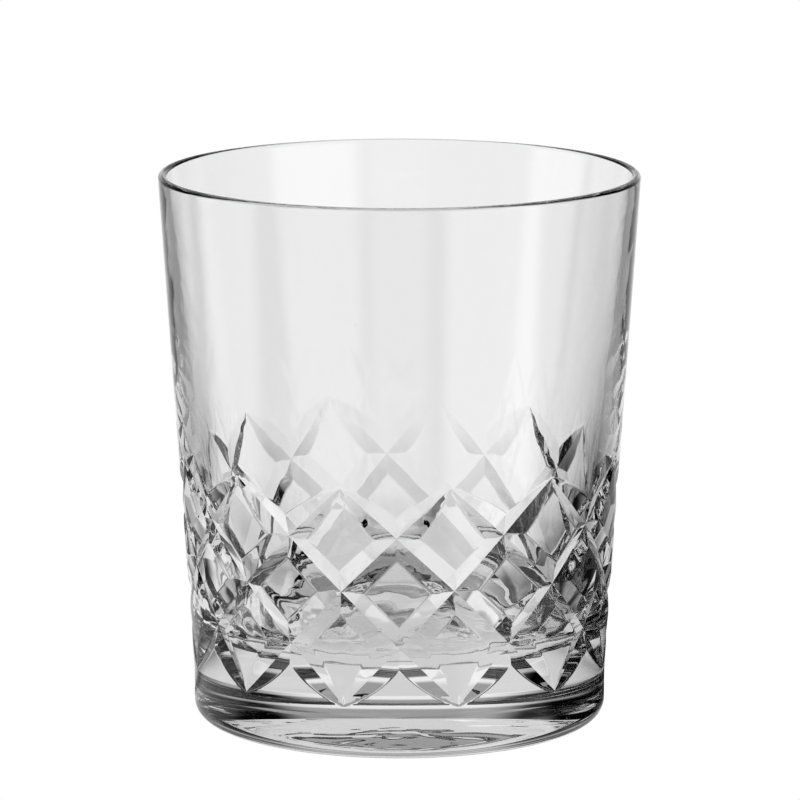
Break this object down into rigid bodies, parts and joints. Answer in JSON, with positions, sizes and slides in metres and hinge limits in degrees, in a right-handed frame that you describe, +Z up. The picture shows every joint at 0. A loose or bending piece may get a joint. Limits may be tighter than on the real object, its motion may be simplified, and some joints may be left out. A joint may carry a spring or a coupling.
{
  "type": "whiskey tumbler",
  "caption": "Heavy clear cut-crystal whiskey tumbler with a thick solid base, a tapering wall, a round polished lip and a lattice of V-cut grooves round the lower half.",
  "frame": {"origin": "centre of the resting face, on the axis of the glass", "axes": "+Z up along the axis of the glass; the side seen from the front faces -Y"},
  "size_m": [0.084, 0.084, 0.0965],
  "materials": {
    "crystal": "polished"
  },
  "bodies": {
    "root": {"tumbler": "crystal"}
  },
  "joints": []
}
